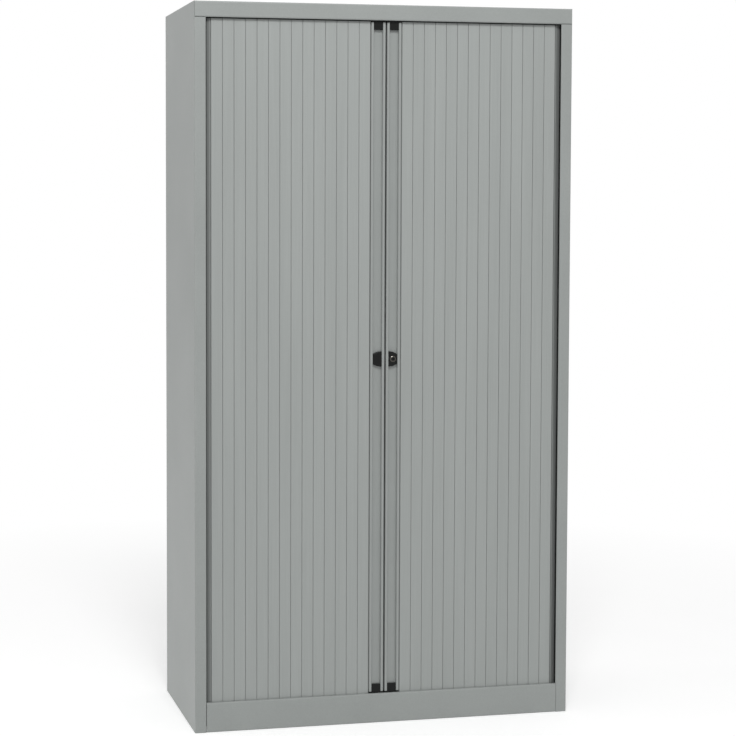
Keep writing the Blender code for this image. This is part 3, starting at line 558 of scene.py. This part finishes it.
turn = np.arange(BARREL_POINTS) * 2 * np.pi / BARREL_POINTS
across, upright = abs(np.cos(turn)), abs(np.sin(turn))
square = TAIL_HALF / np.maximum(across, upright)
beside_slot = SLOT_HALF_WIDTH / np.maximum(across, NEARLY_ZERO)
end_reach = np.sqrt(np.maximum(SLOT_HALF_WIDTH ** 2 - (SLOT_HALF_STRAIGHT * across) ** 2, 0))
round_end = SLOT_HALF_STRAIGHT * upright + end_reach
slot = np.where(beside_slot * upright <= SLOT_HALF_STRAIGHT, beside_slot, round_end)

front = lock_low.y
stile_back = front + BARREL_PROUD + STILE_WALL_BACK
flare_depth, straight_depth = SLOT_MOUTH_DEPTHS
stack = [ring_at(turn, square, lock_high.y), ring_at(turn, square, stile_back)]
stack += [ring_at(turn, np.full_like(turn, BARREL_PROFILE_MM[0][0] * MM), stile_back)]
stack += [ring_at(turn, np.full_like(turn, radius * MM), front + depth * MM) for radius, depth in BARREL_PROFILE_MM]
stack += [ring_at(turn, slot * SLOT_FLARE, front + flare_depth), ring_at(turn, slot, front + straight_depth)]
stack += [ring_at(turn, slot, front + SLOT_DEPTH)]
barrel = close_rings("lock_barrel", np.stack(stack), nickel_painted_dark_reflection)

# %% Colour the plug black: painted shade
# Painted shade: the plug's faces take the black ABS, which darkens the keyhole and the plug's face.
barrel.data.materials.append(spark_grained_abs)
centres = np.empty(len(barrel.data.polygons) * 3)
barrel.data.polygons.foreach_get("center", centres)
centres = centres.reshape(-1, 3) - np.array(lock_centre)
off_axis = np.hypot(centres[:, 0], centres[:, 2])
plug_painted_dark = (off_axis < PLUG_RADIUS) & (centres[:, 1] < 0)
barrel.data.polygons.foreach_set("material_index", plug_painted_dark.astype(np.int32))
stand_for(barrel, "lock_cylinder")

# %% [markdown]
# ## Softened end caps
#
# No moulded edge is truly sharp. The four end caps have the right form already, so each is copied, its loose
# triangles are merged, and a bevel rounds its edges by half a millimetre. The small round is what catches the light
# along the rim of a real moulding.

# %% Round the caps' edges
CAP_ROUND = 0.0005
CAP_ROUND_STEPS = 3
CRISP_DEG = 30


def rounded_copy(node, name, width, finish):
    """Copy a solid's mesh, merge its loose triangles and bevel every edge sharper than CRISP_DEG."""
    mesh = frame["nodes"][node].data.copy()
    item = finish_mesh(name, mesh, finish, CRISP_DEG)
    bevel = item.modifiers.new("rounded_edges", "BEVEL")
    bevel.width = width
    bevel.segments = CAP_ROUND_STEPS
    bevel.limit_method = "ANGLE"
    bevel.angle_limit = math.radians(CRISP_DEG)
    bevel.harden_normals = True
    return item


for hand in ("left", "right"):
    for end in ("upper", "lower"):
        node = f"{hand}_stile_{end}_cap"
        stand_for(rounded_copy(node, f"{node}_moulding", CAP_ROUND, spark_grained_abs), node)

# %% [markdown]
# ## The leading stiles
#
# Each stile is one aluminium extrusion: two ridges with rounded shoulders, a flat recess between them, two legs
# behind, and a round bead on the outer leg that the first slat hooks onto. The section is worked out once as a closed
# path and carried along Z. The solids carry the same section with three facets to a shoulder. Here each shoulder
# gets ten, so that the highlight along a ridge runs clean.

# %% Draw the stile's section
STILE_START, STILE_WIDTH, STILE_DEPTH = 0.002, 0.038, 0.020
RIDGE_WIDTH, RIDGE_RADIUS, RECESS_DEPTH = 0.007, 0.0022, 0.009
STILE_WALL, STEP_IN, STEP_DEPTH = 0.002, 0.0015, 0.0032
BEAD_OUT, BEAD_DEPTH, BEAD_RADIUS, NECK_HALF = 0.002, 0.006, 0.0011, 0.0005
SHOULDER_STEPS = 11


def bend(centre, radius, start_deg, end_deg, steps=SHOULDER_STEPS):
    """Points of an arc: centre + radius * (cos, sin), from the start angle to the end angle."""
    angles = np.radians(np.linspace(start_deg, end_deg, steps))
    return np.stack([centre[0] + radius * np.cos(angles), centre[1] + radius * np.sin(angles)], axis=-1)


neck_deg = math.degrees(math.asin(NECK_HALF / BEAD_RADIUS))
recess_end = STILE_WIDTH - RIDGE_WIDTH
leg = STILE_WIDTH - STEP_IN
under = RECESS_DEPTH + STILE_WALL
stile_section = np.concatenate([
    bend((RIDGE_RADIUS, RIDGE_RADIUS), RIDGE_RADIUS, 180, 270),
    bend((RIDGE_WIDTH - RIDGE_RADIUS, RIDGE_RADIUS), RIDGE_RADIUS, 270, 360),
    [(RIDGE_WIDTH, RECESS_DEPTH), (recess_end, RECESS_DEPTH)],
    bend((recess_end + RIDGE_RADIUS, RIDGE_RADIUS), RIDGE_RADIUS, 180, 270),
    bend((STILE_WIDTH - RIDGE_RADIUS, RIDGE_RADIUS), RIDGE_RADIUS, 270, 360),
    [(STILE_WIDTH, STEP_DEPTH), (leg, STEP_DEPTH), (leg, BEAD_DEPTH - NECK_HALF)],
    bend((STILE_WIDTH + BEAD_OUT, BEAD_DEPTH), BEAD_RADIUS, neck_deg - 180, 180 - neck_deg),
    [(leg, BEAD_DEPTH + NECK_HALF), (leg, STILE_DEPTH), (leg - STILE_WALL, STILE_DEPTH), (leg - STILE_WALL, under)],
    [(STILE_WALL, under), (STILE_WALL, STILE_DEPTH), (0, STILE_DEPTH)],
])
print("stile section:", len(stile_section), "points,", STILE_WIDTH / MM, "mm wide")

# %% [markdown]
# ## Windows in the stiles
#
# When the lock turns, its hook passes through a window in the inner leg of both stiles, and the barrel passes
# through a hole in the right one. The openings are cut with exact Booleans, whose cutters are then thrown away.

# %% Carry the section and cut the openings
HOOK_WINDOW = ((0.0005, 0.0045), (-0.1961, -0.1912), (0.94075, 0.97675))
HOLE_RADIUS = 0.0088
HOLE_START, HOLE_END = 0.006, 0.015


def slab(x_range, y_range, z_range):
    """Eight corners as two rings: the rectangle in XY at the lowest and the highest z."""
    (x0, x1), (y0, y1) = x_range, y_range
    ring = np.array([(x0, y0), (x1, y0), (x1, y1), (x0, y1)])
    return np.stack([np.column_stack([ring, np.full(4, z)]) for z in z_range])


def cut_out(item, cutters):
    """Subtract each cutter with an exact Boolean, bake the result, mark its sharp edges and delete the cutters."""
    for cutter in cutters:
        modifier = item.modifiers.new("opening", "BOOLEAN")
        modifier.operation, modifier.solver, modifier.object = "DIFFERENCE", "EXACT", cutter
    bpy.context.view_layer.update()
    baked = bpy.data.meshes.new_from_object(item.evaluated_get(bpy.context.evaluated_depsgraph_get()))
    item.modifiers.clear()
    item.data = baked
    baked.shade_smooth()
    baked.set_sharp_from_angle(angle=math.radians(CRISP_DEG))
    for cutter in cutters:
        bpy.data.objects.remove(cutter, do_unlink=True)


for hand, side in (("left", -1), ("right", 1)):
    low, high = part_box(f"{hand}_stile")
    outline = np.column_stack([side * (STILE_START + stile_section[:, 0]), low.y + stile_section[:, 1]])
    length = np.linspace(low.z, high.z, 3)
    drawn = np.stack([np.column_stack([outline, np.full(len(outline), z)]) for z in length])
    stile = close_rings(f"{hand}_stile_extrusion", drawn, lacquered_aluminium, CRISP_DEG)
    x_range = sorted(side * x for x in HOOK_WINDOW[0])
    cutters = [close_rings("window_cutter", slab(x_range, *HOOK_WINDOW[1:]), lacquered_aluminium)]
    if side > 0:
        around = np.linspace(0, 2 * np.pi, BARREL_POINTS, endpoint=False)
        depths = (low.y + HOLE_START, low.y + HOLE_END)
        hole = [ring_at(around, np.full_like(around, HOLE_RADIUS), depth) for depth in depths]
        cutters.append(close_rings("barrel_cutter", np.stack(hole), lacquered_aluminium))
    cut_out(stile, cutters)
    stand_for(stile, f"{hand}_stile")

# %% [markdown]
# ## Blind rivets in the back
#
# The back panel is riveted through to the flanges of the top and the floor. A blind rivet shows a low dome with a
# dimple where its pin broke off. Each is a small turned profile, so the whole row is one array: one rivet's rings,
# moved to every place at once.

# %% Set the rivets
RIVET_PROFILE_MM = [(3.0, 0.0), (2.9, 0.35), (2.3, 0.75), (1.4, 0.95), (0.9, 0.95), (0.8, 0.5), (0.3, 0.5)]
RIVET_POINTS = 12
RIVETS_PER_ROW = 8
RIVET_HALF_SPAN = 0.42
RIVET_ROWS_Z = (0.035, 1.840)

profile = np.array(RIVET_PROFILE_MM) * MM
around = np.linspace(0, 2 * np.pi, RIVET_POINTS, endpoint=False)
one = np.stack([
    profile[:, :1] * np.cos(around),
    np.broadcast_to(profile[:, 1:], (len(profile), RIVET_POINTS)),
    profile[:, :1] * np.sin(around),
], axis=-1)
back_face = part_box("back_panel")[1].y
along, rows = np.meshgrid(np.linspace(-RIVET_HALF_SPAN, RIVET_HALF_SPAN, RIVETS_PER_ROW), RIVET_ROWS_Z)
places = np.stack([along.ravel(), np.full(along.size, back_face), rows.ravel()], axis=-1)
rivet_points = (places[:, None, None] + one[None]).reshape(-1, 3)
per_rivet = len(profile) * RIVET_POINTS
quads = ring_faces(len(profile), RIVET_POINTS)
ends = np.stack([np.arange(RIVET_POINTS), np.arange(RIVET_POINTS) + per_rivet - RIVET_POINTS])
starts = np.arange(len(places)) * per_rivet
rivet_faces = (quads[None] + starts[:, None, None]).reshape(-1, 4).tolist()
rivet_faces += (ends[None] + starts[:, None, None]).reshape(-1, RIVET_POINTS).tolist()
rivet_mesh = bpy.data.meshes.new("back_rivets")
rivet_mesh.from_pydata(rivet_points.tolist(), [], rivet_faces)
rivets = finish_mesh("back_rivets", rivet_mesh, zinc_plate, SHARP_DEG)
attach(rivets, "carcass")
print("rivets:", len(places))

# %% [markdown]
# ## Strips of painted shadow round the doorway
#
# A strip of black flocked foam under the header's lip, just in front of the moving doors, and one on the inner fold of
# each corner pillar are dark strips put where the doorway's shadow falls: from the front they paint thin dark shadow
# lines round the slats. Flock is short fibre that swallows nearly all light. Each strip is a rounded section carried
# along X or Z, and its flock is drawn 0.7 mm fine.

# %% Lay the strips of painted shadow
STRIP_FRONT_Y = -0.2122
HEADER_STRIP_BACK_Y = -0.2079
PILLAR_STRIP_BACK_Y = -0.2064
HEADER_STRIP_HANG = 0.0024
STRIP_ROUND = 0.0002
STRIP_HALF_LENGTH = 0.4690
STRIP_STATIONS = 9
HEADER_BOTTOM_Z = 1.810
PILLAR_INNER_X = 0.470
PILLAR_STRIP_THICK = 0.0012
PILLAR_STRIP_Z = (0.0770, 1.8074)

# Painted shadow: near-black flock, #141515 to #0C0D0D, draws the shadow lines under the header and beside the pillars.
painted_shadow_flock = make_finish(
    "painted_shadow_flock",
    pale="#141515",
    deep="#0C0D0D",
    grain_mm=(0.7, 0.7, 0.7),
    relief_mm=0.1,
    gloss=(0.85, 0.95),
    shader_set={"Specular IOR Level": 0.1},
)


def lay_painted_shadow_strip(name, first, last, span, along_z):
    """Round the rectangle between two corners and carry it over the span: its point first for Z, its station for X."""
    (u0, v0), (u1, v1) = first, last
    points, vectors = rounded_outline(np.array([(u0, v0), (u1, v0), (u1, v1), (u0, v1)]), STRIP_ROUND)
    section = points + STRIP_ROUND * vectors
    station = np.broadcast_to(np.linspace(*span, STRIP_STATIONS)[:, None, None], (STRIP_STATIONS, len(section), 1))
    drawn = np.broadcast_to(section[None], (STRIP_STATIONS, len(section), 2))
    rings = np.concatenate([drawn, station] if along_z else [station, drawn], axis=2)
    shadow_strip = close_rings(name, rings, painted_shadow_flock)
    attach(shadow_strip, "carcass")
    print(name, "faces:", len(shadow_strip.data.polygons))


# Painted shadow strips: one under the header's lip and one on each pillar's inner fold.
header_first = (STRIP_FRONT_Y, HEADER_BOTTOM_Z - HEADER_STRIP_HANG)
header_last = (HEADER_STRIP_BACK_Y, HEADER_BOTTOM_Z)
lay_painted_shadow_strip("header_painted_shadow_strip", header_first, header_last, (-STRIP_HALF_LENGTH, STRIP_HALF_LENGTH), along_z=False)
for hand, inner_x in (("left", -PILLAR_INNER_X), ("right", PILLAR_INNER_X - PILLAR_STRIP_THICK)):
    strip_first, strip_last = (inner_x, STRIP_FRONT_Y), (inner_x + PILLAR_STRIP_THICK, PILLAR_STRIP_BACK_Y)
    lay_painted_shadow_strip(f"{hand}_pillar_painted_shadow_strip", strip_first, strip_last, PILLAR_STRIP_Z, along_z=True)

# %% [markdown]
# ## Floor, backdrop and light
#
# The picture is a catalogue shot on pure white. The floor is a wide pale disc that still takes the cabinet's soft
# shadow near the feet and fades to white further out. For the camera, and for what metal mirrors or glass lets
# through, the world is white with a strength of one. For everything else it is a dimmer, even sky. Two large soft
# lamps, high in front and out to the left, give the front its slow fall of light from top to bottom.

# %% What looks straight at the backdrop
WHITE = (1, 1, 1, 1)


def looks_straight(tree):
    """Return a socket that is 1 for rays from the camera, a mirror or glass, and 0 for light on the object."""
    sight = add_node(tree, "ShaderNodeLightPath").outputs
    mirrored = {0: sight["Is Camera Ray"], 1: sight["Is Glossy Ray"]}
    seen = add_node(tree, "ShaderNodeMath", mirrored, operation="MAXIMUM")
    through = {0: seen.outputs[0], 1: sight["Is Transmission Ray"]}
    return add_node(tree, "ShaderNodeMath", through, operation="MAXIMUM").outputs[0]


print("backdrop white:", WHITE)

# %% The floor's paper
FADE_START, FADE_END = 1.2, 3.0
PAPER_SCALE = 4.0
PAPER_LIFT = 0.33

paper_floor, tree, shader = new_material("studio_floor", {"Roughness": 0.9})
seen = looks_straight(tree)
place = add_node(tree, "ShaderNodeTexCoord").outputs["Object"]
distance = add_node(tree, "ShaderNodeVectorMath", {0: place}, operation="LENGTH").outputs["Value"]
far = add_node(tree, "ShaderNodeMapRange", {"Value": distance, "From Min": FADE_START, "From Max": FADE_END})
pulp = add_node(tree, "ShaderNodeTexNoise", {"Vector": place, "Scale": PAPER_SCALE})
tones = {MIX_FACTOR: pulp.outputs["Fac"], MIX_A: linear("#F2F2F2"), MIX_B: linear("#F6F6F6")}
tone = add_node(tree, "ShaderNodeMix", tones, data_type="RGBA")
tree.links.new(tone.outputs[MIX_OUT], shader.inputs["Base Color"])
white_share = add_node(tree, "ShaderNodeMath", {0: seen, 1: far.outputs[0]}, operation="MULTIPLY")
white = add_node(tree, "ShaderNodeEmission", {"Color": WHITE, "Strength": 1.0})
lift_share = add_node(tree, "ShaderNodeMath", {0: seen, 1: PAPER_LIFT}, operation="MULTIPLY")
lift_light = add_node(tree, "ShaderNodeEmission", {"Color": WHITE, "Strength": lift_share.outputs[0]})
near = add_node(tree, "ShaderNodeAddShader", {0: shader.outputs[0], 1: lift_light.outputs[0]})
layers = {0: white_share.outputs[0], 1: near.outputs[0], 2: white.outputs[0]}
whole = add_node(tree, "ShaderNodeMixShader", layers)
tree.links.new(whole.outputs[0], tree.nodes["Material Output"].inputs["Surface"])
print("floor fades to white from", FADE_START, "to", FADE_END, "metres")

# %% Lay the floor
FLOOR_CORE = 0.5
FLOOR_REACH = 40.0
FLOOR_RINGS = 12
FLOOR_POINTS = 48

turn = np.arange(FLOOR_POINTS) * 2 * np.pi / FLOOR_POINTS
reach = np.geomspace(FLOOR_CORE, FLOOR_REACH, FLOOR_RINGS)
flat = reach[:, None, None] * np.stack([np.cos(turn), np.sin(turn), np.zeros_like(turn)], axis=-1)[None]
floor_mesh = bpy.data.meshes.new("studio_floor")
floor_faces = ring_faces(FLOOR_RINGS, FLOOR_POINTS).tolist() + [list(range(FLOOR_POINTS))]
floor_mesh.from_pydata(flat.reshape(-1, 3).tolist(), [], floor_faces)
floor = finish_mesh("studio_floor", floor_mesh, paper_floor, CRISP_DEG)
print("floor radius, metres:", FLOOR_REACH)

# %% World
SKY_STRENGTH = 0.50

world = bpy.data.worlds.new("studio_world")
bpy.context.scene.world = world
world.use_nodes = True
tree = world.node_tree
seen = looks_straight(tree)
strength = add_node(tree, "ShaderNodeMapRange", {"Value": seen, "To Min": SKY_STRENGTH, "To Max": 1.0})
background = tree.nodes["Background"]
background.inputs["Color"].default_value = WHITE
tree.links.new(strength.outputs[0], background.inputs["Strength"])
print("sky strength on the object:", SKY_STRENGTH)

# %% Lamps
SOFTBOXES = [
    # name, place, target, side in metres, watts
    ("high_front_softbox", (-0.8, -3.8, 4.9), (0, 0, 1.0), 1.4, 128),
    ("left_softbox", (-4.2, 0.6, 1.2), (0, 0, 0.8), 1.6, 16),
]


def add_lamp(name, place, target, side, power):
    """A square area lamp that faces the target."""
    data = bpy.data.lights.new(name, "AREA")
    data.size = side
    data.energy = power
    item = bpy.data.objects.new(name, data)
    item.location = place
    item.rotation_euler = (Vector(target) - Vector(place)).to_track_quat("-Z", "Y").to_euler()
    bpy.context.scene.collection.objects.link(item)
    print(name, "watts", power)


for softbox in SOFTBOXES:
    add_lamp(*softbox)
bpy.context.scene.view_settings.view_transform = "Standard"
